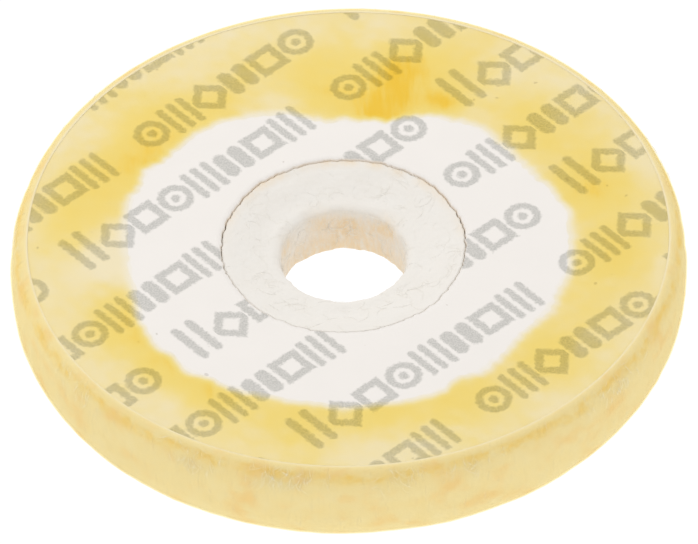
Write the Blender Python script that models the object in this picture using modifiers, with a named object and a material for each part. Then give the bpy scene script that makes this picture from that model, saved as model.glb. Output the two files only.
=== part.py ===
"""Woodwind key pad: a felt ring glued to a thin card and wrapped in two skins.

The pad lies on its front face, the one that seals a tone hole, with the card back up (+Z).
The origin is the centre of the front face's outline. The hole through the card and the felt was
punched a little off that centre. Run with: blender --background --python part.py
"""

import math

import bpy

MM = 0.001
PARTS_COLLECTION = "woodwind_key_pad"
CUTTERS_COLLECTION = "cutters"

# Overall size, over the skins
PAD_DIAMETER = 18.0 * MM
PAD_THICKNESS = 2.55 * MM

# Layers, from the outside in, and the clearance left between glued neighbours
SKIN_THICKNESS = 0.02 * MM
SKIN_GLUE_THICKNESS = 0.02 * MM
CARD_THICKNESS = 0.22 * MM
CARD_GLUE_THICKNESS = 0.02 * MM
LAYER_CLEARANCE = 0.008 * MM

# Punched openings, which share one axis, and that axis's place beside the pad's centre
BORE_DIAMETER = 3.4 * MM
CARD_HOLE_DIAMETER = 6.5 * MM
PUNCH_OFFSET_X = -0.13 * MM
PUNCH_OFFSET_Y = -0.31 * MM

# Rounded edges of the wrapped pad: width along the radius, height along Z
SHOULDER_WIDTH = 0.46 * MM
SHOULDER_HEIGHT = 1.08 * MM
FRONT_EDGE_WIDTH = 0.55 * MM
FRONT_EDGE_HEIGHT = 1.07 * MM

# Felt around the bore: a shallow dish and a soft lip in the hole of the card, a cone in front
FELT_DISH_DEPTH = 0.06 * MM
BACK_LIP_WIDTH = 0.25 * MM
BACK_LIP_HEIGHT = 0.12 * MM
FRONT_CONE_WIDTH = 0.75 * MM
FRONT_CONE_HEIGHT = 0.66 * MM

# Skins turned over the card's back, measured in from the card's edge
OUTER_FLANGE_WIDTH = 2.65 * MM
INNER_FLANGE_WIDTH = 0.6 * MM

CARD_EDGE_CLEARANCE = 0.03 * MM
GLUE_MARGIN = 0.1 * MM

# Facets: the nested pieces share them, so that their gaps stay even
SEGMENTS = 64
ARC_STEPS = 4
MERGE_DISTANCE = 0.001 * MM
CUTTER_OVERSHOOT = 0.5 * MM

# Radii and heights that follow from the sizes above
PAD_RADIUS = PAD_DIAMETER / 2
BORE_RADIUS = BORE_DIAMETER / 2
CARD_HOLE_RADIUS = CARD_HOLE_DIAMETER / 2
CARD_RADIUS = PAD_RADIUS - SHOULDER_WIDTH - CARD_EDGE_CLEARANCE
CONE_MOUTH_RADIUS = BORE_RADIUS + FRONT_CONE_WIDTH

INNER_SKIN_INSET = SKIN_THICKNESS + LAYER_CLEARANCE
FELT_INSET = 2 * INNER_SKIN_INSET
SKIN_GLUE_TOP = PAD_THICKNESS - INNER_SKIN_INSET
FLANGE_LAYER = max(SKIN_THICKNESS, SKIN_GLUE_THICKNESS)
CARD_TOP = SKIN_GLUE_TOP - FLANGE_LAYER - LAYER_CLEARANCE
CARD_GLUE_TOP = CARD_TOP - CARD_THICKNESS - LAYER_CLEARANCE
FELT_TOP = CARD_GLUE_TOP - CARD_GLUE_THICKNESS - LAYER_CLEARANCE

# The two outer roundings share the pad's side, so a thin pad limits them both
ROUNDING_LIMIT = min(1.0, PAD_THICKNESS / (SHOULDER_HEIGHT + FRONT_EDGE_HEIGHT))
SHOULDER_RISE = SHOULDER_HEIGHT * ROUNDING_LIMIT
FRONT_EDGE_RISE = FRONT_EDGE_HEIGHT * ROUNDING_LIMIT


def clear_scene():
    """Remove the objects and collections that Blender starts with."""
    for obj in list(bpy.data.objects):
        bpy.data.objects.remove(obj, do_unlink=True)
    for collection in list(bpy.data.collections):
        bpy.data.collections.remove(collection)


def add_collection(name):
    """New collection in the scene."""
    collection = bpy.data.collections.new(name)
    bpy.context.scene.collection.children.link(collection)
    return collection


def make_material(name, color, roughness, metallic=0.0):
    """Principled material with one colour."""
    material = bpy.data.materials.new(name)
    material.use_nodes = True
    shader = material.node_tree.nodes["Principled BSDF"]
    shader.inputs["Base Color"].default_value = (*color, 1.0)
    shader.inputs["Roughness"].default_value = roughness
    shader.inputs["Metallic"].default_value = metallic
    return material


def ellipse_arc(center, width, height, start_deg, end_deg):
    """Points (radius, z) along an ellipse about center, both ends included."""
    points = []
    for step in range(ARC_STEPS + 1):
        angle = math.radians(start_deg + (end_deg - start_deg) * step / ARC_STEPS)
        points.append((center[0] + width * math.cos(angle), center[1] + height * math.sin(angle)))
    return points


def shoulder_arc(inset):
    """Card-side rounding of the wrapped pad, inset from its surface, running down."""
    center = (PAD_RADIUS - SHOULDER_WIDTH, PAD_THICKNESS - SHOULDER_RISE)
    return ellipse_arc(center, SHOULDER_WIDTH - inset, SHOULDER_RISE - inset, 90.0, 0.0)


def front_edge_arc(inset):
    """Front-side rounding of the wrapped pad, inset from its surface, running inwards."""
    center = (PAD_RADIUS - FRONT_EDGE_WIDTH, FRONT_EDGE_RISE)
    return ellipse_arc(center, FRONT_EDGE_WIDTH - inset, FRONT_EDGE_RISE - inset, 0.0, -90.0)


def cut_level(points, top):
    """Falling outline without what is above top, starting where it crosses that height."""
    kept = [point for point in points if point[1] < top]
    above = points[len(points) - len(kept) - 1]
    below = kept[0]
    share = (top - below[1]) / (above[1] - below[1])
    return [(below[0] + share * (above[0] - below[0]), top)] + kept


def turned_object(collection, name, profile):
    """Outline of (radius, z) points from axis to axis, running down its outer side, turned about Z."""
    mesh = bpy.data.meshes.new(name)
    vertices = [(radius, 0.0, z) for radius, z in profile]
    mesh.from_pydata(vertices, [(i, i + 1) for i in range(len(vertices) - 1)], [])
    turned = bpy.data.objects.new(name, mesh)
    collection.objects.link(turned)
    screw = turned.modifiers.new("Turn", "SCREW")
    screw.axis = "Z"
    screw.angle = 2 * math.pi
    screw.steps = SEGMENTS
    screw.render_steps = SEGMENTS
    screw.use_merge_vertices = True
    screw.merge_threshold = MERGE_DISTANCE
    screw.use_smooth_shade = True
    return turned


def disc_profile(radius, bottom, top):
    """Outline of a plain disc."""
    return [(0.0, top), (radius, top), (radius, bottom), (0.0, bottom)]


def add_cutter(collection, name, profile):
    """Turned cutter on the punched openings' axis."""
    cutter = turned_object(collection, name, profile)
    cutter.location = (PUNCH_OFFSET_X, PUNCH_OFFSET_Y, 0.0)
    cutter.hide_render = True
    cutter.display_type = "WIRE"
    return cutter


def add_hole_cutter(collection, name, radius):
    """Straight cutter right through the pad."""
    profile = disc_profile(radius, -CUTTER_OVERSHOOT, PAD_THICKNESS + CUTTER_OVERSHOOT)
    return add_cutter(collection, name, profile)


def add_bore_cutter(collection):
    """Cutter for the felt: dish, back lip, straight bore and the cone that opens to the front."""
    dish_bottom = FELT_TOP - FELT_DISH_DEPTH
    back_lip_radius = BORE_RADIUS + BACK_LIP_WIDTH
    dish_run = CARD_HOLE_RADIUS - back_lip_radius
    top = FELT_TOP + FELT_DISH_DEPTH
    back_lip = (back_lip_radius, dish_bottom - BACK_LIP_HEIGHT)
    profile = [(0.0, top), (CARD_HOLE_RADIUS + dish_run, top)]
    profile += ellipse_arc(back_lip, BACK_LIP_WIDTH, BACK_LIP_HEIGHT, 90.0, 180.0)
    profile += [(BORE_RADIUS, FRONT_CONE_HEIGHT), (CONE_MOUTH_RADIUS, FELT_INSET)]
    profile += [(CONE_MOUTH_RADIUS, -CUTTER_OVERSHOOT), (0.0, -CUTTER_OVERSHOOT)]
    return add_cutter(collection, "bore_cutter", profile)


def add_part(collection, name, profile, cutter, material):
    """Turned piece with its opening cut through it."""
    part = turned_object(collection, name, profile)
    part.data.materials.append(material)
    cut = part.modifiers.new("Punched opening", "BOOLEAN")
    cut.operation = "DIFFERENCE"
    cut.solver = "EXACT"
    cut.object = cutter
    return part


def add_felt_cushion(collection, cutter):
    """Felt ring: bulged side, flat front and a bore that opens to the front."""
    side = shoulder_arc(FELT_INSET) + front_edge_arc(FELT_INSET)
    profile = [(0.0, FELT_TOP)] + cut_level(side, FELT_TOP) + [(0.0, FELT_INSET)]
    felt = make_material("white_wool_felt", (0.86, 0.82, 0.74), 0.95)
    return add_part(collection, "felt_cushion", profile, cutter, felt)


def add_card_backing(collection, cutter):
    """Stiff card washer on the felt's back."""
    profile = disc_profile(CARD_RADIUS, CARD_TOP - CARD_THICKNESS, CARD_TOP)
    card = make_material("white_card", (0.87, 0.85, 0.81), 0.75)
    return add_part(collection, "card_backing", profile, cutter, card)


def add_card_glue_film(collection, cutter):
    """Glue between the felt and the card."""
    radius = CARD_RADIUS - GLUE_MARGIN
    profile = disc_profile(radius, CARD_GLUE_TOP - CARD_GLUE_THICKNESS, CARD_GLUE_TOP)
    glue = make_material("pale_glue", (0.80, 0.66, 0.42), 0.4)
    return add_part(collection, "card_glue_film", profile, cutter, glue)


def add_skin_glue_film(collection, cutter):
    """Glue between the card's back and the outer skin, inside the inner skin's narrow flange."""
    radius = CARD_RADIUS - INNER_FLANGE_WIDTH - GLUE_MARGIN
    profile = disc_profile(radius, SKIN_GLUE_TOP - SKIN_GLUE_THICKNESS, SKIN_GLUE_TOP)
    glue = make_material("amber_glue", (0.85, 0.55, 0.09), 0.25)
    return add_part(collection, "skin_glue_film", profile, cutter, glue)


def add_skin(collection, name, inset, flange_width, cutter, material):
    """Thin skin over the front and the side, turned over the card's back."""

    def surface(depth):
        flange_edge = (CARD_RADIUS - flange_width, PAD_THICKNESS - depth)
        return [flange_edge] + shoulder_arc(depth) + front_edge_arc(depth) + [(0.0, depth)]

    profile = surface(inset + SKIN_THICKNESS)[::-1] + surface(inset)
    return add_part(collection, name, profile, cutter, material)


def build():
    """Make the pad's pieces in one collection and their cutters in another."""
    clear_scene()
    parts = add_collection(PARTS_COLLECTION)
    cutters = add_collection(CUTTERS_COLLECTION)

    bore = add_bore_cutter(cutters)
    card_hole = add_hole_cutter(cutters, "card_hole_cutter", CARD_HOLE_RADIUS)
    card_glue_hole = add_hole_cutter(cutters, "card_glue_cutter", CARD_HOLE_RADIUS + GLUE_MARGIN)
    skin_hole = add_hole_cutter(cutters, "skin_hole_cutter", CONE_MOUTH_RADIUS)

    # The skin glue follows the flange, which is trimmed about the pad's own centre
    flange_hole_radius = CARD_RADIUS - OUTER_FLANGE_WIDTH + GLUE_MARGIN
    skin_glue_hole = add_hole_cutter(cutters, "skin_glue_cutter", flange_hole_radius)
    skin_glue_hole.location = (0.0, 0.0, 0.0)

    skin = make_material("straw_yellow_skin", (0.87, 0.70, 0.34), 0.35)
    add_felt_cushion(parts, bore)
    add_card_glue_film(parts, card_glue_hole)
    add_card_backing(parts, card_hole)
    add_skin_glue_film(parts, skin_glue_hole)
    add_skin(parts, "inner_skin", INNER_SKIN_INSET, INNER_FLANGE_WIDTH, skin_hole, skin)
    add_skin(parts, "outer_skin", 0.0, OUTER_FLANGE_WIDTH, skin_hole, skin)


build()
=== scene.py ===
"""Looks of a woodwind key pad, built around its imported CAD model.

The pad lies on its front face with its printed card back up. Every CAD node but the hidden glue
between felt and card is replaced by a finer piece in the same place: fuzzy felt, printed card,
blotchy amber glue and two thin translucent skins, the outer one hand-trimmed on the card.
Lengths are in metres, and a number times MM is in millimetres. Tables and materials work in plain
millimetres where their comments say so.
"""

import math

import bpy
import numpy as np
from mathutils import Matrix, Vector


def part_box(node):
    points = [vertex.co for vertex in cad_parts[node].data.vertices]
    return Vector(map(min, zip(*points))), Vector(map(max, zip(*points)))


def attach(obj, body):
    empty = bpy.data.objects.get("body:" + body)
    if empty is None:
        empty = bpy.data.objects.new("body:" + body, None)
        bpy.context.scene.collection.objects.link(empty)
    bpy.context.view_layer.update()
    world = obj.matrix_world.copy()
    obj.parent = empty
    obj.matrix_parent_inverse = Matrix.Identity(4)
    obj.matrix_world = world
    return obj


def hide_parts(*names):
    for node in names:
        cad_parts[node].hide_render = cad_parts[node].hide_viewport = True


MM = 0.001
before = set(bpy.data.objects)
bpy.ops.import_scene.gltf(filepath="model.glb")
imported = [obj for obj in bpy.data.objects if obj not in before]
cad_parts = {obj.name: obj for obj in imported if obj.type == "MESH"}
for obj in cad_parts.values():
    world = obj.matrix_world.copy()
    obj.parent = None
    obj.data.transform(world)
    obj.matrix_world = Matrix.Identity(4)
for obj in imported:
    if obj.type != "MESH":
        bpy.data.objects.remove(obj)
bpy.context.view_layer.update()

# Camera: a long lens, so that the pad shows almost no perspective
VIEW_ELEVATION_DEG = 44.93
VIEW_ROLL_DEG = 1.37
VIEW_DISTANCE = 450.0 * MM
PICTURE_WIDTH = 18.515 * MM
AIM_BELOW_CARD = 0.985 * MM
SENSOR_WIDTH = 36.0

# White surroundings, in metres and watts: floor, sky and one lamp
FLOOR_SIZE = 2.0
FLOOR_DROP = 0.02 * MM
FLOOR_GLOW = 1.06
SKY_STRENGTH = 0.82
LAMP_PLACE = (-0.05, 0.07, 0.13)
LAMP_WIDTH = 0.12
LAMP_POWER = 0.055
WHITE = (1.0, 1.0, 1.0, 1.0)

# Wrapped outline, as in the CAD model: width along the radius, height along Z
SHOULDER_WIDTH = 0.46 * MM
SHOULDER_HEIGHT = 1.08 * MM
FRONT_EDGE_WIDTH = 0.55 * MM
FRONT_EDGE_HEIGHT = 1.07 * MM
FRONT_CONE_WIDTH = 0.75 * MM
FRONT_CONE_HEIGHT = 0.66 * MM

# Felt round its bore; the lip is a little softer than the CAD model's
FELT_DISH_DEPTH = 0.06 * MM
BACK_LIP_WIDTH = 0.3 * MM
BACK_LIP_HEIGHT = 0.16 * MM

# Felt against its neighbours: how deep it lies under the outer skin's surface, how far it swells up
# into the card's hole, and its gap to the card
FELT_INSET = 0.044 * MM
FELT_RISE = 0.22 * MM
FELT_CARD_GAP = 0.002 * MM

# Skins: thickness, distance from one to the next, share of the front cone that they line, and how far
# outside the card's edge the inner one stops
SKIN_THICKNESS = 0.02 * MM
SKIN_PITCH = 0.028 * MM
SKIN_IN_CONE = 0.36
INNER_SKIN_GAP = 0.012 * MM

# How the outer skin's flange waves where it is wide, and sinks towards its cut edge
FLANGE_WAVE = 0.004 * MM
FLANGE_SINK = 0.014 * MM

# Glue under the outer skin: its gap to the skin's cut edge and to the card's outer edge, how ragged
# its inner edge is, its depth in the card, and its height over the card where thin and what is added
# where thick
GLUE_SKIN_GAP = 0.02 * MM
GLUE_CARD_GAP = 0.002 * MM
GLUE_RAGGED = 0.05 * MM
GLUE_SOAKED = 0.006 * MM
GLUE_THIN = 0.003 * MM
GLUE_THICK = 0.007 * MM

# Loose hairs: how many stand on the felt, and how far those on the skin stay clear of it
FELT_FIBRES = 300
HAIR_CLEARANCE = 0.008 * MM

# Points round the axis on every turned piece
SEGMENTS = 480


def measure_frame():
    """Sizes and places of the pad's parts, read from the CAD nodes."""
    pad_low, pad_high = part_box("outer_skin")
    card_low, card_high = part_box("card_backing")
    felt_low, felt_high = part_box("felt_cushion")
    corners = np.array([v.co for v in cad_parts["card_backing"].data.vertices])
    card_radius = (card_high.x - card_low.x) / 2
    rim = corners[np.hypot(corners[:, 0], corners[:, 1]) < 0.6 * card_radius]
    punch = (rim.min(0) + rim.max(0)) / 2
    felt = np.array([v.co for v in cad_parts["felt_cushion"].data.vertices])
    bore_radius = np.hypot(felt[:, 0] - punch[0], felt[:, 1] - punch[1]).min()
    return {
        "pad_radius": (pad_high.x - pad_low.x) / 2,
        "pad_top": pad_high.z,
        "card_radius": card_radius,
        "card_top": card_high.z,
        "card_bottom": card_low.z,
        "felt_top": felt_high.z,
        "felt_bottom": felt_low.z,
        "punch": (float(punch[0]), float(punch[1])),
        "hole_radius": float((rim.max(0) - rim.min(0))[0] / 2),
        "bore_radius": float(bore_radius),
    }


SIZE = measure_frame()
PUNCH = np.array(SIZE["punch"])


# ---------------------------------------------------------------- camera, floor and light


def add_camera():
    """Camera above the near side, rolled a little, aimed just below the card's centre."""
    elevation = math.radians(VIEW_ELEVATION_DEG)
    back = Vector((0.0, -math.cos(elevation), math.sin(elevation)))
    up = Vector((0.0, math.sin(elevation), math.cos(elevation)))
    card_centre = Vector((0.0, 0.0, SIZE["pad_top"]))
    place = card_centre + back * VIEW_DISTANCE
    aim = card_centre - up * AIM_BELOW_CARD
    data = bpy.data.cameras.new("camera")
    data.sensor_width = SENSOR_WIDTH
    data.lens = SENSOR_WIDTH * VIEW_DISTANCE / PICTURE_WIDTH
    data.clip_start = VIEW_DISTANCE / 10
    data.clip_end = VIEW_DISTANCE * 10
    camera = bpy.data.objects.new("camera", data)
    bpy.context.scene.collection.objects.link(camera)
    turn = (place - aim).to_track_quat("Z", "Y").to_matrix().to_4x4()
    roll = Matrix.Rotation(-math.radians(VIEW_ROLL_DEG), 4, "Z")
    camera.matrix_world = Matrix.Translation(place) @ turn @ roll
    bpy.context.scene.camera = camera


def add_floor():
    """White light table that the pad lies on."""
    bpy.ops.mesh.primitive_plane_add(size=FLOOR_SIZE, location=(0.0, 0.0, -FLOOR_DROP))
    floor = bpy.context.object
    floor.name = "floor"
    material = bpy.data.materials.new("light_table")
    material.use_nodes = True
    nodes = material.node_tree.nodes
    nodes.clear()
    glow = nodes.new("ShaderNodeEmission")
    glow.inputs["Color"].default_value = WHITE
    glow.inputs["Strength"].default_value = FLOOR_GLOW
    output = nodes.new("ShaderNodeOutputMaterial")
    material.node_tree.links.new(glow.outputs[0], output.inputs["Surface"])
    floor.data.materials.append(material)


def add_light():
    """Even white surroundings and one large soft lamp, high at the back left."""
    world = bpy.data.worlds.new("studio")
    world.use_nodes = True
    sky = world.node_tree.nodes["Background"]
    sky.inputs["Color"].default_value = WHITE
    sky.inputs["Strength"].default_value = SKY_STRENGTH
    bpy.context.scene.world = world
    data = bpy.data.lights.new("soft_lamp", "AREA")
    data.shape = "DISK"
    data.size = LAMP_WIDTH
    data.energy = LAMP_POWER
    lamp = bpy.data.objects.new("soft_lamp", data)
    place = Vector(LAMP_PLACE)
    turn = place.to_track_quat("Z", "Y").to_matrix().to_4x4()
    lamp.matrix_world = Matrix.Translation(place) @ turn
    bpy.context.scene.collection.objects.link(lamp)
    bpy.context.scene.view_settings.view_transform = "Standard"


# ---------------------------------------------------------------- mesh helpers


def angles():
    """Even steps round the axis."""
    return np.arange(SEGMENTS) * 2 * math.pi / SEGMENTS


def ripple(values, seed, low, high, count=9):
    """Smooth random wave of about unit height, as a sum of cosines with whole frequencies."""
    draw = np.random.default_rng(seed)
    total = np.zeros_like(values, dtype=float)
    for _ in range(count):
        total += np.cos(draw.integers(low, high + 1) * values + draw.uniform(0, 2 * math.pi))
    return total / math.sqrt(count / 2)


def field(x, y, seed, size, count=24):
    """Smooth random field over a plane, of about unit height, with features of about that size."""
    draw = np.random.default_rng(seed)
    total = np.zeros_like(x, dtype=float)
    for _ in range(count):
        heading = draw.uniform(0, 2 * math.pi)
        pitch = 2 * math.pi / (size * draw.uniform(1.2, 3.2))
        phase = draw.uniform(0, 2 * math.pi)
        total += np.cos(pitch * (x * math.cos(heading) + y * math.sin(heading)) + phase)
    return total / math.sqrt(count / 2)


def through(points, at, period):
    """Smooth closed curve through a few (position, value) points, read at the given positions."""
    xs = np.array([p[0] for p in points], float)
    ys = np.array([p[1] for p in points], float)
    xs = np.concatenate([xs[-2:] - period, xs, xs[:2] + period])
    ys = np.concatenate([ys[-2:], ys, ys[:2]])
    slopes = np.gradient(ys, xs)
    k = np.clip(np.searchsorted(xs, at, side="right") - 1, 0, len(xs) - 2)
    width = xs[k + 1] - xs[k]
    t = (at - xs[k]) / width
    low = (1 + 2 * t) * (1 - t) ** 2 * ys[k] + t * (1 - t) ** 2 * width * slopes[k]
    high = t * t * (3 - 2 * t) * ys[k + 1] + t * t * (t - 1) * width * slopes[k + 1]
    return low + high


def smooth_step(low, high, values):
    """0 below low, 1 above high, and smooth between."""
    t = np.clip((values - low) / (high - low), 0, 1)
    return t * t * (3 - 2 * t)


def set_attribute(mesh, name, values):
    """Float attribute on the mesh's points, for its material to read."""
    attribute = mesh.attributes.new(name, "FLOAT", "POINT")
    attribute.data.foreach_set("value", np.asarray(values, np.float32).ravel())


def grid_object(name, grid, closed, material, attributes=None):
    """Object from points[row, column]: columns go round the axis, and rows close up if asked."""
    rows, columns = grid.shape[:2]
    index = np.arange(rows * columns).reshape(rows, columns)
    if closed:
        index = np.vstack([index, index[:1]])
    right = np.roll(index, -1, axis=1)
    quads = np.stack([index[:-1], index[1:], right[1:], right[:-1]], axis=-1).reshape(-1, 4)
    mesh = bpy.data.meshes.new(name)
    mesh.from_pydata(grid.reshape(-1, 3).tolist(), [], quads.tolist())
    mesh.shade_smooth()
    for key, values in (attributes or {}).items():
        set_attribute(mesh, key, values)
    mesh.materials.append(material)
    piece = bpy.data.objects.new(name, mesh)
    bpy.context.scene.collection.objects.link(piece)
    return piece


def ring_grid(radius, height, centre_share):
    """Points from radius[row, column] and height[row, column]; a row with share 1 is centred on
    the punched hole and one with share 0 on the pad."""
    turn = angles()[None, :]
    x = radius * np.cos(turn) + PUNCH[0] * centre_share
    y = radius * np.sin(turn) + PUNCH[1] * centre_share
    return np.stack([x, y, height], axis=-1)


def keep(piece, slot, *nodes):
    """Ride on the pad's one body, in place of these CAD nodes; the slot is not used."""
    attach(piece, "root")
    if nodes:
        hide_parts(*nodes)


# ---------------------------------------------------------------- material helpers


class Tree:
    """Short names for the node calls that the materials share."""

    def __init__(self, name):
        self.material = bpy.data.materials.new(name)
        self.material.use_nodes = True
        self.nodes = self.material.node_tree.nodes
        self.links = self.material.node_tree.links
        self.nodes.clear()

    def put(self, value, socket):
        """Link a socket, or set a plain value."""
        if isinstance(value, bpy.types.NodeSocket):
            self.links.new(value, socket)
        else:
            socket.default_value = value

    def math(self, operation, a, b=0.0):
        node = self.nodes.new("ShaderNodeMath")
        node.operation = operation
        self.put(a, node.inputs[0])
        self.put(b, node.inputs[1])
        return node.outputs[0]

    def length(self, a, b):
        squares = self.math("ADD", self.math("MULTIPLY", a, a), self.math("MULTIPLY", b, b))
        return self.math("SQRT", squares)

    def step(self, value, low, high, out_low=0.0, out_high=1.0):
        """Smooth step from out_low at low to out_high at high."""
        node = self.nodes.new("ShaderNodeMapRange")
        node.interpolation_type = "SMOOTHSTEP"
        for name, number in zip(
            ("Value", "From Min", "From Max", "To Min", "To Max"),
            (value, low, high, out_low, out_high),
        ):
            self.put(number, node.inputs[name])
        return node.outputs["Result"]

    def attribute(self, name):
        node = self.nodes.new("ShaderNodeAttribute")
        node.attribute_name = name
        return node.outputs["Fac"]

    def place(self):
        """Position on the object, in millimetres."""
        where = self.nodes.new("ShaderNodeTexCoord").outputs["Object"]
        node = self.nodes.new("ShaderNodeVectorMath")
        node.operation = "SCALE"
        self.put(where, node.inputs[0])
        self.put(1 / MM, node.inputs["Scale"])
        return node.outputs[0]

    def stretch(self, vector, scale):
        node = self.nodes.new("ShaderNodeVectorMath")
        node.operation = "MULTIPLY"
        self.put(vector, node.inputs[0])
        self.put(scale, node.inputs[1])
        return node.outputs[0]

    def combine(self, x, y, z=0.0):
        node = self.nodes.new("ShaderNodeCombineXYZ")
        for value, socket in zip((x, y, z), node.inputs):
            self.put(value, socket)
        return node.outputs[0]

    def split(self, vector):
        node = self.nodes.new("ShaderNodeSeparateXYZ")
        self.put(vector, node.inputs[0])
        return node.outputs

    def noise(self, vector, scale, detail=3.0, roughness=0.55):
        """Noise with that many features to the millimetre."""
        node = self.nodes.new("ShaderNodeTexNoise")
        self.put(vector, node.inputs["Vector"])
        for name, number in (("Scale", scale), ("Detail", detail), ("Roughness", roughness)):
            node.inputs[name].default_value = number
        return node.outputs["Fac"]

    def mix(self, share, low, high, blend="MIX"):
        node = self.nodes.new("ShaderNodeMix")
        node.data_type = "RGBA"
        node.blend_type = blend
        self.put(share, node.inputs["Factor"])
        for value, socket in ((low, node.inputs[6]), (high, node.inputs[7])):
            self.put((*value, 1.0) if isinstance(value, tuple) else value, socket)
        return node.outputs[2]

    def bump(self, height, strength, distance):
        node = self.nodes.new("ShaderNodeBump")
        node.inputs["Strength"].default_value = strength
        node.inputs["Distance"].default_value = distance
        self.put(height, node.inputs["Height"])
        return node.outputs[0]

    def principled(self, color, roughness, normal=None, **sockets):
        node = self.nodes.new("ShaderNodeBsdfPrincipled")
        self.put((*color, 1.0) if isinstance(color, tuple) else color, node.inputs["Base Color"])
        self.put(roughness, node.inputs["Roughness"])
        if normal is not None:
            self.put(normal, node.inputs["Normal"])
        for name, value in sockets.items():
            node.inputs[name.replace("_", " ")].default_value = value
        return node.outputs[0]

    def film(self, tint, solid, share):
        """Clear tinted film with a share of solid surface over it."""
        clear = self.nodes.new("ShaderNodeBsdfTransparent")
        self.put(tint, clear.inputs["Color"])
        node = self.nodes.new("ShaderNodeMixShader")
        self.put(share, node.inputs[0])
        self.put(clear.outputs[0], node.inputs[1])
        self.put(solid, node.inputs[2])
        return node.outputs[0]

    def finish(self, shader):
        output = self.nodes.new("ShaderNodeOutputMaterial")
        self.put(shader, output.inputs["Surface"])
        return self.material


# ---------------------------------------------------------------- card and its print

# Print, in millimetres: rows that slant up to the right, in cells that hold one mark each
PRINT_ANGLE_DEG = 41.0
ROW_PITCH = 2.26
ROW_START = -0.33
CELL_WIDTH = 1.03
CELLS_IN_PERIOD = 16
EVEN_ROW_START = -6.0
ODD_ROW_START = 5.45
STROKE = 0.12

# Farther than any mark reaches, in millimetres or in cells
FAR = 9.0

# Which of the period's cells hold each mark; the cells that none names are gaps
TALL_BARS = (0,)
DIAMONDS = (1, 11)
SQUARES = (2, 6, 13)
TARGETS = (3, 9, 14)
BARS = (4, 7, 10)
DOTS = (5, 12)


def pill(tree, across, along, half_length, radius=STROKE):
    """Distance from an upright stroke with round ends."""
    past_end = tree.math("MAXIMUM", tree.math("SUBTRACT", along, half_length), 0.0)
    return tree.math("SUBTRACT", tree.length(across, past_end), radius)


def outline(tree, distance, size, half_stroke):
    """Distance from a line drawn where the given distance equals size."""
    away = tree.math("ABSOLUTE", tree.math("SUBTRACT", distance, size))
    return tree.math("SUBTRACT", away, half_stroke)


def print_marks(tree, across, rise):
    """Distances from each kind of mark, with the cells that hold it. None is a letter."""
    width = tree.math("ABSOLUTE", across)
    height = tree.math("ABSOLUTE", rise)
    reach = tree.length(across, rise)
    tall = tree.math("ABSOLUTE", tree.math("SUBTRACT", rise, 0.2))
    outer_bar = tree.math("ABSOLUTE", tree.math("SUBTRACT", width, 0.35))
    nearest_bar = tree.math("MINIMUM", width, outer_bar)
    diamond = tree.math("MULTIPLY", tree.math("ADD", width, height), 0.71)
    ring = outline(tree, reach, 0.385, 0.1)
    dot_across = tree.math("SUBTRACT", width, 0.25)
    dot_along = tree.math("SUBTRACT", height, 0.28)
    return (
        (TALL_BARS, pill(tree, tree.math("SUBTRACT", width, 0.24), tall, 0.58)),
        (DIAMONDS, outline(tree, diamond, 0.33, 0.11)),
        (SQUARES, outline(tree, tree.math("MAXIMUM", width, height), 0.35, 0.11)),
        (TARGETS, tree.math("MINIMUM", ring, tree.math("SUBTRACT", reach, 0.13))),
        (BARS, pill(tree, nearest_bar, height, 0.46, 0.1)),
        (DOTS, pill(tree, dot_across, dot_along, 0.0, 0.19)),
    )


def ink_cover(tree, place):
    """Slanting rows of plain marks: 1 on ink and 0 off it."""
    cosine = math.cos(math.radians(PRINT_ANGLE_DEG))
    sine = math.sin(math.radians(PRINT_ANGLE_DEG))
    x, y, _ = tree.split(place)
    along = tree.math("ADD", tree.math("MULTIPLY", x, cosine), tree.math("MULTIPLY", y, sine))
    up = tree.math("SUBTRACT", tree.math("MULTIPLY", y, cosine), tree.math("MULTIPLY", x, sine))
    level = tree.math("DIVIDE", tree.math("SUBTRACT", up, ROW_START), ROW_PITCH)
    row = tree.math("ROUND", level)
    rise = tree.math("MULTIPLY", tree.math("SUBTRACT", level, row), ROW_PITCH)
    odd = tree.math("FLOORED_MODULO", row, 2.0)
    shift = tree.math("MULTIPLY", odd, ODD_ROW_START - EVEN_ROW_START)
    start = tree.math("ADD", shift, EVEN_ROW_START)
    run = tree.math("DIVIDE", tree.math("SUBTRACT", along, start), CELL_WIDTH)
    cell = tree.math("FLOOR", run)
    from_middle = tree.math("SUBTRACT", tree.math("SUBTRACT", run, cell), 0.5)
    across = tree.math("MULTIPLY", from_middle, CELL_WIDTH)
    number = tree.math("FLOORED_MODULO", cell, float(CELLS_IN_PERIOD))
    nearest = 1.0
    for cells, shape in print_marks(tree, across, rise):
        cells_away = FAR
        for wanted in cells:
            away = tree.math("ABSOLUTE", tree.math("SUBTRACT", number, float(wanted)))
            cells_away = tree.math("MINIMUM", cells_away, away)
        shape = tree.math("ADD", shape, tree.math("MULTIPLY", cells_away, FAR))
        nearest = tree.math("MINIMUM", nearest, shape)
    ragged = tree.math("MULTIPLY", tree.math("SUBTRACT", tree.noise(place, 8.0, 3.0), 0.5), 0.16)
    return tree.step(tree.math("ADD", nearest, ragged), 0.05, -0.04)


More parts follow.
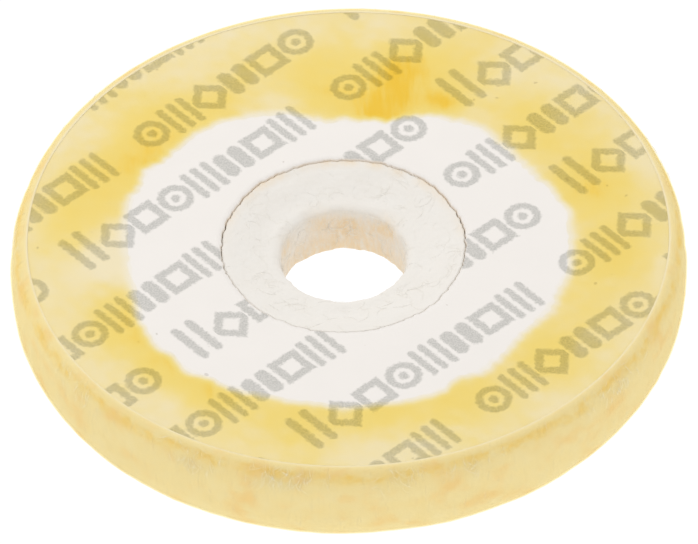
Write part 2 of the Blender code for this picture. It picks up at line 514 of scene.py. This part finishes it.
def card_material():
    """White coated card with grainy grey print, stained tan along its punched edge."""
    tree = Tree("printed_card")
    place = tree.place()
    mottle = tree.noise(place, 0.8, 4.0)
    paper = tree.mix(mottle, (0.885, 0.845, 0.80), (0.925, 0.88, 0.835))
    grain = tree.step(tree.noise(place, 22.0, 2.0, 0.7), 0.36, 0.62)
    strength = tree.math("ADD", 0.62, tree.math("MULTIPLY", grain, 0.38))
    cover = tree.math("MULTIPLY", ink_cover(tree, place), strength)
    cover = tree.math("MULTIPLY", cover, tree.attribute("face"))
    printed = tree.mix(cover, paper, (0.56, 0.545, 0.51))
    speck = tree.step(tree.noise(place, 3.3, 1.0), 0.775, 0.80, 0.0, 0.35)
    printed = tree.mix(speck, printed, (0.42, 0.36, 0.30))
    fibre = tree.noise(tree.stretch(place, (30.0, 8.0, 30.0)), 1.0, 3.0)
    stain = tree.math("MULTIPLY", tree.attribute("stain"), tree.step(fibre, 0.3, 0.7, 0.5, 1.0))
    color = tree.mix(stain, printed, (0.80, 0.67, 0.52))
    normal = tree.bump(tree.noise(place, 14.0, 3.0), 0.25, 0.004 * MM)
    return tree.finish(tree.principled(color, 0.62, normal, Specular_IOR_Level=0.3))


def card_edge(turn):
    """Radius of the card's slightly furred punched edge about the bore's axis."""
    coarse = 0.012 * MM * ripple(turn, 11, 5, 60)
    fine = 0.006 * MM * ripple(turn, 12, 60, 150)
    return SIZE["hole_radius"] + coarse + fine


def add_card():
    """Card washer with a slightly furred punched edge."""
    turn = angles()
    edge = card_edge(turn)
    low, high = SIZE["card_bottom"], SIZE["card_top"]
    bevel = 0.03 * MM
    radius, height, share, face, stain = [], [], [], [], []

    def row(r, z, centre, on_face, tan):
        radius.append(r * np.ones_like(turn))
        height.append(z * np.ones_like(turn))
        share.append(centre)
        face.append(on_face)
        stain.append(tan * np.ones_like(turn))

    uneven = 0.75 + 0.25 * ripple(turn, 13, 4, 30)
    far_side = 0.35 + 0.65 * smooth_step(-0.5, 0.5, np.sin(turn)) * uneven
    for step in np.linspace(0, 1, 40):
        centre = 1 - smooth_step(0.1, 0.9, step)
        reach = edge + bevel + (SIZE["card_radius"] - 0.01 * MM - edge - bevel) * step
        row(reach, high, centre, 1.0, 0.0)
    row(SIZE["card_radius"], high, 0.0, 0.0, 0.0)
    row(SIZE["card_radius"], low, 0.0, 0.0, 0.0)
    row(edge + bevel, low, 1.0, 0.0, 0.5 * far_side)
    for share_up in (0.1, 0.35, 0.6, 0.85):
        row(edge, low + (high - low) * share_up, 1.0, 0.0, far_side * (1.1 - 0.6 * share_up))
    grid = ring_grid(np.array(radius), np.array(height), np.array(share)[:, None])
    attributes = {"face": np.repeat(face, len(turn)), "stain": np.clip(np.array(stain), 0, 1)}
    card = grid_object("printed_card", grid, True, card_material(), attributes)
    keep(card, "white_card", "card_backing")


# ---------------------------------------------------------------- felt


def felt_material():
    """Off-white pressed wool: soft mottling, fine fibres and tan stains that also paint shade on the
    bore's far wall, with painted light under the skins and painted shade on the bare felt.
    """
    tree = Tree("wool_felt")
    place = tree.place()
    soft = tree.noise(place, 1.6, 4.0)
    fine = tree.noise(tree.stretch(place, (9.0, 9.0, 3.0)), 1.0, 4.0, 0.65)
    # Painted light and shade: these wool colours are raised to stand in for light on the felt seen
    # through the skins, and the multiply by the bare mask below paints shade back onto the bare felt in
    # the card's hole and bore.
    wool = tree.mix(soft, (0.93, 0.88, 0.80), (0.955, 0.925, 0.87))
    wool = tree.mix(tree.step(fine, 0.35, 0.7, 0.0, 0.5), wool, (0.97, 0.945, 0.90))
    wool = tree.mix(tree.attribute("bare"), wool, (0.925, 0.935, 0.955), "MULTIPLY")
    # The stain attribute holds tan stains and, on the bore's far wall, painted shade
    stain = tree.math("MULTIPLY", tree.attribute("stain"), tree.step(fine, 0.25, 0.65, 0.35, 1.0))
    color = tree.mix(stain, wool, (0.88, 0.70, 0.47))
    normal = tree.bump(tree.noise(place, 18.0, 4.0, 0.7), 0.3, 0.012 * MM)
    return tree.finish(tree.principled(color, 0.95, normal, Specular_IOR_Level=0.1, Sheen_Weight=0.15))


def felt_level(radius):
    """Height of the felt round its bore: a rounded lip, a shallow dish, and a rise to the card's edge."""
    dish = SIZE["felt_top"] - FELT_DISH_DEPTH
    lip = SIZE["bore_radius"] + BACK_LIP_WIDTH
    if radius < lip:
        share = (lip - radius) / BACK_LIP_WIDTH
        return dish - BACK_LIP_HEIGHT + BACK_LIP_HEIGHT * math.sqrt(max(0.0, 1 - share * share))
    rise = FELT_DISH_DEPTH + FELT_RISE
    return dish + rise * float(smooth_step(lip, SIZE["hole_radius"] + 0.2 * MM, radius)) ** 0.8


def felt_profile():
    """Rows (radius, height, centre share) of the felt's outline, from its back down its side."""
    inset = FELT_INSET
    radius, top = SIZE["pad_radius"], SIZE["felt_top"]
    beside_card = SIZE["card_radius"] + FELT_CARD_GAP
    rows = []
    for step in np.linspace(0, 1, 22):
        reach = SIZE["hole_radius"] + (beside_card - SIZE["hole_radius"]) * step
        rows.append((reach, top, 1 - step))
    rows.append((beside_card, SIZE["pad_top"] - inset, 0.0))
    for turn in np.linspace(math.radians(92), 0, 24):
        rows.append((
            radius - SHOULDER_WIDTH + (SHOULDER_WIDTH - inset) * math.cos(turn),
            SIZE["pad_top"] - SHOULDER_HEIGHT + (SHOULDER_HEIGHT - inset) * math.sin(turn),
            0.0,
        ))
    for turn in np.linspace(0, -math.pi / 2, 12):
        rows.append((
            radius - FRONT_EDGE_WIDTH + (FRONT_EDGE_WIDTH - inset) * math.cos(turn),
            FRONT_EDGE_HEIGHT + (FRONT_EDGE_HEIGHT - inset) * math.sin(turn),
            0.0,
        ))
    mouth = SIZE["bore_radius"] + FRONT_CONE_WIDTH
    for step in np.linspace(0.15, 1.0, 6):
        reach = radius - FRONT_EDGE_WIDTH + (mouth - radius + FRONT_EDGE_WIDTH) * step
        rows.append((reach, inset, step))
    for step in np.linspace(0.08, 1.0, 14):
        rows.append((mouth - FRONT_CONE_WIDTH * step, inset + (FRONT_CONE_HEIGHT - inset) * step, 1.0))
    dish = top - FELT_DISH_DEPTH
    for step in np.linspace(0.05, 0.95, 26):
        height = FRONT_CONE_HEIGHT + (dish - BACK_LIP_HEIGHT - FRONT_CONE_HEIGHT) * step
        rows.append((SIZE["bore_radius"], height, 1.0))
    for turn in np.linspace(math.pi, math.pi / 2, 14):
        rows.append((
            SIZE["bore_radius"] + BACK_LIP_WIDTH + BACK_LIP_WIDTH * math.cos(turn),
            dish - BACK_LIP_HEIGHT + BACK_LIP_HEIGHT * math.sin(turn),
            1.0,
        ))
    inner = SIZE["bore_radius"] + BACK_LIP_WIDTH
    for step in np.linspace(0.05, 0.97, 26):
        reach = inner + (SIZE["hole_radius"] - FELT_CARD_GAP - inner) * step
        rows.append((reach, felt_level(reach), 1.0))
    return np.array(rows)


# Tan patches in the bore, glue stain that also paints shade on the far wall: direction in degrees,
# height above the front in millimetres, reach round in degrees, reach up in millimetres, and how tan
WALL_STAINS_AND_SHADE = (
    (157.0, 1.70, 14.0, 0.28, 0.7),
    (112.0, 1.75, 13.0, 0.30, 0.8),
    (84.0, 1.55, 15.0, 0.34, 1.0),
    (60.0, 1.60, 12.0, 0.26, 0.5),
    (45.0, 1.75, 13.0, 0.32, 0.9),
    (90.0, 1.10, 75.0, 0.35, 0.55),
    (90.0, 0.50, 110.0, 0.45, 1.0),
    (20.0, 1.50, 10.0, 0.25, 0.3),
)


# Relief of the wrapped side, in millimetres: a crease below the card, broad swells, fine pleats that
# lean a little, and a sink that keeps all of it inside the CAD outline
CREASE_DEPTH = 0.010
CREASE_BELOW_TOP = 0.22
CREASE_REACH = 0.12
SWELL_HEIGHT = 0.008
SWELL_SIZE = 1.1
PLEAT_HEIGHT = 0.0025
PLEAT_LEAN = 0.004
SIDE_SINK = 0.012


def side_relief(turn, height):
    """How far the wrapped side stands out at that direction and height: hollows, swells and pleats."""
    below = (SIZE["pad_top"] - height) / MM
    hang = smooth_step(0.0, 0.5, below)
    crease = -CREASE_DEPTH * np.exp(-(((below - CREASE_BELOW_TOP) / CREASE_REACH) ** 2))
    swell = SWELL_HEIGHT * field(turn * SIZE["pad_radius"] / MM, height / MM, 62, SWELL_SIZE)
    pleat = PLEAT_HEIGHT * ripple(turn + PLEAT_LEAN * height / MM, 63, 40, 110, 16)
    return (crease + hang * (swell + pleat - SIDE_SINK)) * MM


def felt_stain_and_shade(turn, radius, height):
    """How tan the felt is: patches in the bore, which are glue stain and painted shade on its far wall,
    and a faint band under the card's far edge.
    """
    total = np.zeros_like(radius)
    in_bore = smooth_step(0.45 * MM, 0.0, radius - SIZE["bore_radius"])
    for direction, level, reach, rise, amount in WALL_STAINS_AND_SHADE:
        away = (np.degrees(turn) - direction + 180) % 360 - 180
        total += amount * in_bore * np.exp(-((away / reach) ** 2) - ((height / MM - level) / rise) ** 2)
    near_card = smooth_step(0.35 * MM, 0.03 * MM, np.abs(SIZE["hole_radius"] - radius))
    near_card = near_card * (height > SIZE["felt_top"] - 0.1 * MM)
    far = smooth_step(-0.3, 0.9, np.sin(turn)) * (0.6 + 0.3 * ripple(turn, 23, 5, 40))
    return np.clip(0.1 + total + 0.6 * near_card * np.clip(far, 0, 1), 0, 1)


# Unevenness of bare wool, in millimetres: lumps, grain and the flutes that the punch leaves
LUMP_HEIGHT = 0.010
LUMP_SIZE = 0.5
GRAIN_HEIGHT = 0.003
GRAIN_SIZE = 0.09
FLUTE_HEIGHT = 0.007
FLUTE_SIZE = 0.16


def felt_surface(turn, rows):
    """Felt's outline turned round, with the unevenness of pressed wool where it is bare."""
    radius = np.repeat(rows[:, 0:1], len(turn), axis=1)
    height = np.repeat(rows[:, 1:2], len(turn), axis=1)
    round_bore = rows[:, 2] == 1.0
    above_front = rows[:, 1] > SIZE["felt_bottom"] + 0.2 * MM
    bare = (round_bore & above_front).astype(float)[:, None]
    turns = np.repeat(turn[None, :], len(rows), axis=0)
    arc = turns * SIZE["bore_radius"]
    lumps = field(arc, height + radius, 31, LUMP_SIZE * MM)
    grain = field(arc, height + radius, 32, GRAIN_SIZE * MM, 40)
    wrapped = (rows[:, 0] > SIZE["card_radius"] + 0.05 * MM)[:, None]
    radius = radius + wrapped * side_relief(turns, height)
    rough = bare * (LUMP_HEIGHT * MM * lumps + GRAIN_HEIGHT * MM * grain)
    wall = smooth_step(0.3 * MM, 0.05 * MM, radius - SIZE["bore_radius"])
    flutes = field(arc, 0.25 * height, 33, FLUTE_SIZE * MM)
    radius = radius + rough * wall + bare * wall * FLUTE_HEIGHT * MM * flutes
    lift = rough * (1 - wall)
    near_card = smooth_step(0.25 * MM, 0.0, SIZE["hole_radius"] - radius)
    height = height + lift * (1 - near_card)
    at_card = smooth_step(0.3 * MM, 0.0, np.abs(SIZE["hole_radius"] - radius)) * round_bore[:, None]
    radius = radius + at_card * (card_edge(turn)[None, :] - SIZE["hole_radius"])
    return turns, radius, height


def add_felt():
    """Felt ring with a rough bore."""
    rows = felt_profile()
    turns, radius, height = felt_surface(angles(), rows)
    stain = felt_stain_and_shade(turns, radius, height)
    grid = ring_grid(radius, height, rows[:, 2:3])
    # Mask of the bare felt in the card's hole and bore, which the felt material paints in shade
    bare = (radius < SIZE["hole_radius"] + 0.1 * MM) & (height > FRONT_CONE_HEIGHT)
    felt = grid_object("felt_ring", grid, True, felt_material(), {"stain": stain, "bare": bare})
    keep(felt, "white_felt", "felt_cushion")


def fibre_paths(count, seed):
    """Curved paths of loose wool fibres over the dish, the lip and the upper bore."""
    draw = np.random.default_rng(seed)
    dish = SIZE["felt_top"] - FELT_DISH_DEPTH
    lip = SIZE["bore_radius"] + BACK_LIP_WIDTH
    nearest, farthest = SIZE["bore_radius"] + 0.02 * MM, SIZE["hole_radius"] - 0.03 * MM
    paths = []
    for _ in range(count):
        turn = draw.uniform(0, 2 * math.pi)
        spot = draw.uniform(-1.0, 1.0)
        heading = draw.uniform(0, 2 * math.pi)
        length = draw.uniform(0.15, 0.7) * MM
        bend = draw.normal(0, 1.6)
        lift = draw.uniform(0.0, 1.0) ** 2 * 0.03 * MM
        points = []
        for step in np.linspace(0, 1, 7):
            walk = heading + bend * step
            outward = length * step * math.cos(walk)
            aside = length * step * math.sin(walk)
            stand = 0.006 * MM + lift * math.sin(math.pi * min(1.0, step * 1.2))
            if spot > -0.1:
                start = lip + spot * (SIZE["hole_radius"] - lip - 0.1 * MM)
                radius = min(max(start + outward, nearest), farthest)
                angle = turn + aside / radius
                height = felt_level(radius) + stand
            else:
                level = dish - BACK_LIP_HEIGHT + (spot + 0.1) * 1.1 * MM + outward
                level = min(max(level, FRONT_CONE_HEIGHT), dish - BACK_LIP_HEIGHT)
                radius = SIZE["bore_radius"] - stand
                angle = turn + aside / radius
                height = level
            x, y = PUNCH[0] + radius * math.cos(angle), PUNCH[1] + radius * math.sin(angle)
            points.append((x, y, height))
        paths.append((np.array(points), draw.uniform(0.003, 0.006) * MM))
    return paths


def tube_mesh(name, paths, sides=5):
    """One mesh of thin closed tubes along the paths."""
    vertices, faces = [], []
    for points, radius in paths:
        along = np.gradient(points, axis=0)
        along /= np.linalg.norm(along, axis=1)[:, None] + 1e-12
        side = np.cross(along, (0.0, 0.0, 1.0))
        side /= np.linalg.norm(side, axis=1)[:, None] + 1e-12
        over = np.cross(side, along)
        first = len(vertices)
        for k, point in enumerate(points):
            thin = radius * (1 - 0.55 * abs(2 * k / (len(points) - 1) - 1))
            for corner in range(sides):
                turn = 2 * math.pi * corner / sides
                vertices.append(point + thin * (math.cos(turn) * side[k] + math.sin(turn) * over[k]))
        for k in range(len(points) - 1):
            for corner in range(sides):
                a = first + k * sides + corner
                b = first + k * sides + (corner + 1) % sides
                faces.append((a, b, b + sides, a + sides))
        last = first + (len(points) - 1) * sides
        faces.append(tuple(first + c for c in reversed(range(sides))))
        faces.append(tuple(last + c for c in range(sides)))
    mesh = bpy.data.meshes.new(name)
    mesh.from_pydata([tuple(v) for v in vertices], [], faces)
    mesh.shade_smooth()
    return mesh


def fibre_material(name, color):
    """Fine pale hair."""
    tree = Tree(name)
    shade = tree.mix(tree.noise(tree.place(), 6.0), tuple(0.93 * value for value in color), color)
    return tree.finish(tree.principled(shade, 0.6, Specular_IOR_Level=0.3))


def add_fibres():
    """Loose wool fibres on the felt's bare face and in its bore."""
    mesh = tube_mesh("felt_fibres", fibre_paths(FELT_FIBRES, 41))
    mesh.materials.append(fibre_material("loose_wool", (0.96, 0.94, 0.89)))
    fibres = bpy.data.objects.new("felt_fibres", mesh)
    bpy.context.scene.collection.objects.link(fibres)
    keep(fibres, "white_felt")


# ---------------------------------------------------------------- skins and glue

# Hand-trimmed edge of the outer skin on the card: direction in degrees, distance in millimetres
TRIM = (
    (0, 5.80), (10, 5.75), (20, 5.45), (30, 5.30), (40, 5.20), (50, 5.25), (60, 5.05), (68, 4.75),
    (76, 4.40), (90, 4.30), (100, 4.40), (108, 4.85), (115, 5.10), (125, 5.40), (140, 5.60),
    (160, 5.85), (170, 5.90), (180, 5.85), (200, 6.00), (210, 6.20), (222, 6.40), (240, 6.30),
    (260, 6.20), (280, 6.25), (300, 6.10), (320, 5.95), (335, 5.85), (350, 5.95),
)

# Glue under the outer skin: x, y and reach in millimetres, and an amount that is added to the thin
# layer, where a total of 1 is yellow and of 2 is deep amber
GLUE_SPOTS = (
    (1.2, 5.0, 1.1, 1.5), (1.7, 6.4, 0.8, 1.0), (2.7, 5.0, 0.5, 1.3), (0.9, 4.5, 0.5, 1.0),
    (-0.6, 5.1, 1.0, 0.7), (0.2, 6.6, 1.4, 0.35), (2.9, 7.0, 1.2, 0.3),
    (-4.9, 3.9, 1.2, 0.6), (-5.6, 3.0, 0.9, 0.7), (-6.9, 2.4, 1.2, 0.5), (-7.4, 0.9, 1.1, 0.4),
    (-3.3, 4.9, 0.8, 0.5), (-5.6, 5.2, 1.2, 0.3), (-6.4, -0.7, 0.8, -0.8), (-5.9, 0.3, 0.6, -0.5),
    (-6.0, -3.4, 1.1, 0.8), (-4.8, -4.7, 0.9, 0.7), (-3.6, -5.7, 0.8, 0.8), (-1.5, -6.9, 1.2, 0.6),
    (0.8, -6.6, 1.0, 0.5), (3.2, -6.0, 1.2, 0.45), (5.4, -4.9, 1.1, 0.5), (6.6, -3.2, 0.8, 0.3),
    (7.2, -0.9, 1.1, 0.7), (6.3, 1.6, 1.1, 0.7), (7.3, 1.6, 0.8, 0.4), (5.2, 3.4, 0.7, 0.4),
    (4.6, 4.6, 0.9, 0.3), (6.3, 4.6, 1.0, 0.25),
)


def trim_radius(turn):
    """Distance of the outer skin's cut edge from the pad's centre, with small nicks."""
    edge = through(TRIM, np.degrees(turn) % 360, 360.0)
    return (edge + 0.035 * ripple(turn, 51, 9, 40) + 0.015 * ripple(turn, 52, 40, 120)) * MM


def glue_amount(x, y):
    """Glue thickness under the skin: a thin uneven layer and the spots."""
    x, y = x / MM, y / MM
    reach = np.hypot(x, y)
    total = 0.42 + 0.32 * np.exp(-(((reach - 6.6) / 0.9) ** 2))
    total = total + 0.09 * field(x, y, 53, 1.4) + 0.04 * field(x, y, 54, 0.35)
    for spot_x, spot_y, reach, amount in GLUE_SPOTS:
        total = total + amount * np.exp(-((x - spot_x) ** 2 + (y - spot_y) ** 2) / reach**2)
    return np.clip(total, 0.0, 2.2)


def wrap_rows(inset):
    """Rows of the wrapped surface below the flange: (radius, height, centre share)."""
    radius = SIZE["pad_radius"]
    rows = []
    for turn in np.linspace(math.pi / 2, 0, 22)[1:]:
        rows.append((
            radius - SHOULDER_WIDTH + (SHOULDER_WIDTH - inset) * math.cos(turn),
            SIZE["pad_top"] - SHOULDER_HEIGHT + (SHOULDER_HEIGHT - inset) * math.sin(turn),
            0.0,
        ))
    for turn in np.linspace(0, -math.pi / 2, 18):
        rows.append((
            radius - FRONT_EDGE_WIDTH + (FRONT_EDGE_WIDTH - inset) * math.cos(turn),
            FRONT_EDGE_HEIGHT + (FRONT_EDGE_HEIGHT - inset) * math.sin(turn),
            0.0,
        ))
    slope = math.atan2(FRONT_CONE_HEIGHT - FELT_INSET, FRONT_CONE_WIDTH)
    proud = FELT_INSET - inset + 0.002 * MM
    mouth = SIZE["bore_radius"] + FRONT_CONE_WIDTH
    for step in np.linspace(0.08, 1, 12):
        reach = radius - FRONT_EDGE_WIDTH + (mouth - radius + FRONT_EDGE_WIDTH) * step
        rows.append((reach, inset, smooth_step(0, 1, step)))
    for step in np.linspace(0.08, SKIN_IN_CONE, 8):
        rows.append((
            mouth - FRONT_CONE_WIDTH * step - proud * math.sin(slope),
            FELT_INSET + (FRONT_CONE_HEIGHT - FELT_INSET) * step - proud * math.cos(slope),
            1.0,
        ))
    return rows


def skin_material(name):
    """Straw-yellow gut skin: a clear tinted film with a thin veil, fibres and mottling, and a band of
    painted shade in the crease below the shoulder.
    """
    tree = Tree(name)
    place = tree.place()
    around = tree.attribute("around")
    down = tree.attribute("down")
    sheet = tree.combine(around, down)
    cloud = tree.noise(place, 0.7, 4.0)
    blotch = tree.noise(place, 2.6, 4.0, 0.6)
    strands = tree.noise(tree.stretch(sheet, (9.0, 1.3, 1.0)), 1.0, 4.0, 0.7)
    side = tree.attribute("side")
    pale = tree.mix(cloud, (1.0, 0.980, 0.905), (1.0, 0.990, 0.945))
    straw = tree.mix(blotch, (1.0, 0.968, 0.850), (1.0, 0.984, 0.905))
    warm = tree.step(tree.noise(tree.stretch(sheet, (0.9, 1.3, 1.0)), 1.0, 4.0, 0.6), 0.48, 0.72)
    straw = tree.mix(warm, straw, (1.0, 0.952, 0.828))
    patchy_crease_shade = tree.step(tree.noise(tree.stretch(sheet, (1.5, 2.6, 1.0)), 1.0, 4.0, 0.75), 0.38, 0.66)
    # Painted shade: a deeper yellow, patchy band in the crease just below the shoulder
    crease = tree.math("MULTIPLY", tree.step(down, 0.14, 0.32), tree.step(down, 0.36, 0.66, 1.0, 0.0))
    straw = tree.mix(tree.math("MULTIPLY", crease, patchy_crease_shade), straw, (0.998, 0.945, 0.77))
    tint = tree.mix(side, pale, straw)
    tint = tree.mix(tree.attribute("edge"), tint, (1.0, 0.998, 0.988))
    light_strands = tree.math("MULTIPLY", tree.step(strands, 0.55, 0.72), side)
    veil_color = tree.mix(light_strands, (0.97, 0.88, 0.58), (0.99, 0.95, 0.80))
    share = tree.math("ADD", 0.008, tree.math("MULTIPLY", side, 0.025))
    share = tree.math("ADD", share, tree.math("MULTIPLY", light_strands, 0.04))
    relief = tree.math("ADD", tree.math("MULTIPLY", strands, side), tree.math("MULTIPLY", blotch, 0.5))
    normal = tree.bump(relief, 0.12, 0.01 * MM)
    solid = tree.principled(veil_color, 0.38, normal, Specular_IOR_Level=0.5)
    return tree.finish(tree.film(tint, solid, share))


def glue_material():
    """Dried glue: pale where thin, amber where thick."""
    tree = Tree("amber_glue")
    place = tree.place()
    amount = tree.attribute("glue")
    mottle = tree.math("SUBTRACT", tree.noise(place, 2.6, 4.0), 0.5)
    streak = tree.math("SUBTRACT", tree.noise(tree.stretch(place, (4.5, 0.7, 1.0)), 1.0, 3.0), 0.5)
    thick = tree.step(amount, 0.9, 2.2, 0.0, 1.9)
    amount = tree.math("ADD", amount, tree.math("MULTIPLY", mottle, 0.55))
    amount = tree.math("ADD", amount, tree.math("MULTIPLY", streak, thick))
    yellow = tree.mix(tree.step(amount, 0.0, 1.3), (1.0, 0.992, 0.95), (1.0, 0.930, 0.58))
    tint = tree.mix(tree.step(amount, 1.2, 2.4), yellow, (0.992, 0.84, 0.31))
    solid = tree.principled((0.80, 0.52, 0.10), 0.25)
    return tree.finish(tree.film(tint, solid, 0.02))


def add_skin(name, inset, material, flange_edge, *nodes):
    """Skin over the front and side, turned over the card's back up to its cut edge."""
    turn = angles()
    top = SIZE["pad_top"] - inset
    shoulder = SIZE["pad_radius"] - SHOULDER_WIDTH
    reach = np.linspace(0, 1, 34) ** 1.25
    flange_radius = flange_edge[None, :] + (shoulder - flange_edge)[None, :] * reach[:, None]
    x, y = flange_radius * np.cos(turn), flange_radius * np.sin(turn)
    slack = smooth_step(0.1 * MM, 0.5 * MM, shoulder - flange_edge)[None, :]
    wave = FLANGE_WAVE * slack * field(x / MM, y / MM, 61, 0.9)
    sink = FLANGE_SINK * slack * (1 - smooth_step(0, 0.25, reach))[:, None]
    flange_height = top + wave * (1 - reach[:, None]) - sink
    rows = np.array(wrap_rows(inset))
    side_radius = np.repeat(rows[:, 0:1], len(turn), axis=1)
    side_height = np.repeat(rows[:, 1:2], len(turn), axis=1)
    on_side = (rows[:, 0] > shoulder).astype(float)[:, None] * (rows[:, 2] == 0)[:, None]
    turns = np.repeat(turn[None, :], len(rows), axis=0)
    side_radius = side_radius + on_side * side_relief(turns, side_height)
    radius = np.vstack([flange_radius, side_radius])
    height = np.vstack([flange_height, side_height])
    share = np.concatenate([np.zeros(len(reach)), rows[:, 2]])[:, None]
    grid = ring_grid(radius, height, share)
    steps = np.linalg.norm(np.diff(grid, axis=0), axis=2)
    down = np.vstack([np.zeros(len(turn)), np.cumsum(steps, axis=0)]) / MM
    over_shoulder = down - down[len(reach) - 1]
    around = np.repeat(turn[None, :] * SIZE["pad_radius"] / MM, len(grid), axis=0)
    from_edge = down[: len(reach)]
    edge = np.zeros_like(radius)
    edge[: len(reach)] = 1 - smooth_step(0.0, 0.35, from_edge)
    side = smooth_step(shoulder - 0.1 * MM, shoulder + 0.12 * MM, radius) * (share == 0)
    side = np.maximum(side, (height < SIZE["pad_top"] / 2) * 0.6)
    attributes = {"around": around, "down": over_shoulder, "edge": edge, "side": side}
    skin = grid_object(name, grid, False, material, attributes)
    solid = skin.modifiers.new("Thickness", "SOLIDIFY")
    solid.thickness = SKIN_THICKNESS
    solid.offset = -1.0
    keep(skin, "straw_skin", *nodes)
    return skin


def add_glue(skin_edge):
    """Uneven film of glue on the card, from inside the outer skin's cut edge to the card's edge."""
    turn = angles()
    reach = np.linspace(0, 1, 46)
    start = skin_edge + GLUE_SKIN_GAP + GLUE_RAGGED * ripple(turn, 71, 5, 30)
    end = SIZE["card_radius"] - GLUE_CARD_GAP
    radius = start[None, :] + (end - start)[None, :] * reach[:, None]
    x, y = radius * np.cos(turn), radius * np.sin(turn)
    low = SIZE["card_top"] - GLUE_SOAKED + 0 * radius
    from_start = (radius - start[None, :]) / MM
    amount = glue_amount(x, y) * smooth_step(-0.05, 0.32, from_start)
    high = SIZE["card_top"] + GLUE_THIN + GLUE_THICK * np.clip(amount / 2, 0, 1)
    grid = ring_grid(np.vstack([radius, radius[::-1]]), np.vstack([high, low[::-1]]), 0.0)
    glue = np.vstack([amount, amount[::-1]])
    piece = grid_object("card_glue_patches", grid, True, glue_material(), {"glue": glue})
    keep(piece, "amber_glue", "skin_glue_film")


# Tufts of skin fibres on the shoulder: direction in degrees, reach in degrees and count
TUFTS = (
    (242.0, 5.0, 45), (258.0, 7.0, 85), (278.0, 4.0, 25), (291.0, 6.0, 25), (216.0, 6.0, 20),
    (322.0, 9.0, 35), (20.0, 12.0, 25), (75.0, 15.0, 20), (140.0, 16.0, 20), (180.0, 10.0, 25),
)


def add_skin_fibres():
    """Short pale hairs that stand in tufts on the shoulder of the outer skin."""
    draw = np.random.default_rng(81)
    paths = []
    for direction, reach, count in TUFTS:
        for _ in range(count):
            start = math.radians(draw.normal(direction, reach / 2))
            drop = math.radians(draw.uniform(30, 74))
            slant = draw.normal(0, 0.010)
            bend = draw.normal(0, 0.010)
            fall = math.radians(draw.uniform(6, 20))
            stand = draw.uniform(0.0, 0.02) * MM
            points = []
            for step in np.linspace(0, 1, 7):
                tilt = drop - fall * step
                turn = start + slant * step + bend * step * step
                height = SIZE["pad_top"] - SHOULDER_HEIGHT + SHOULDER_HEIGHT * math.sin(tilt)
                out = HAIR_CLEARANCE + stand * math.sin(math.pi * step) + float(side_relief(turn, height))
                radius = SIZE["pad_radius"] - SHOULDER_WIDTH + SHOULDER_WIDTH * math.cos(tilt) + out
                points.append((radius * math.cos(turn), radius * math.sin(turn), height))
            paths.append((np.array(points), draw.uniform(0.0025, 0.004) * MM))
    mesh = tube_mesh("skin_fibres", paths)
    mesh.materials.append(fibre_material("skin_hair", (0.99, 0.96, 0.82)))
    fibres = bpy.data.objects.new("skin_fibres", mesh)
    bpy.context.scene.collection.objects.link(fibres)
    keep(fibres, "straw_skin")


def finish_hidden_glue():
    """The CAD film between felt and card stays, with the look of dried glue."""
    tree = Tree("hidden_glue")
    place = tree.place()
    color = tree.mix(tree.noise(place, 4.0), (0.66, 0.50, 0.30), (0.80, 0.66, 0.44))
    normal = tree.bump(tree.noise(place, 12.0), 0.3, 0.005 * MM)
    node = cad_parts["card_glue_film"]
    node.data.materials.clear()
    node.data.materials.append(tree.finish(tree.principled(color, 0.4, normal)))


# ---------------------------------------------------------------- build


def build():
    add_camera()
    add_floor()
    add_light()
    finish_hidden_glue()
    add_card()
    add_felt()
    add_fibres()
    turn = angles()
    skin = skin_material("gut_skin")
    trimmed = trim_radius(turn)
    inner_edge = SIZE["card_radius"] + INNER_SKIN_GAP + 0 * turn
    add_glue(trimmed)
    inner = add_skin("inner_skin_wrap", SKIN_PITCH, skin, inner_edge, "inner_skin")
    outer = add_skin("outer_skin_wrap", 0.0, skin, trimmed, "outer_skin")
    add_skin_fibres()


build()
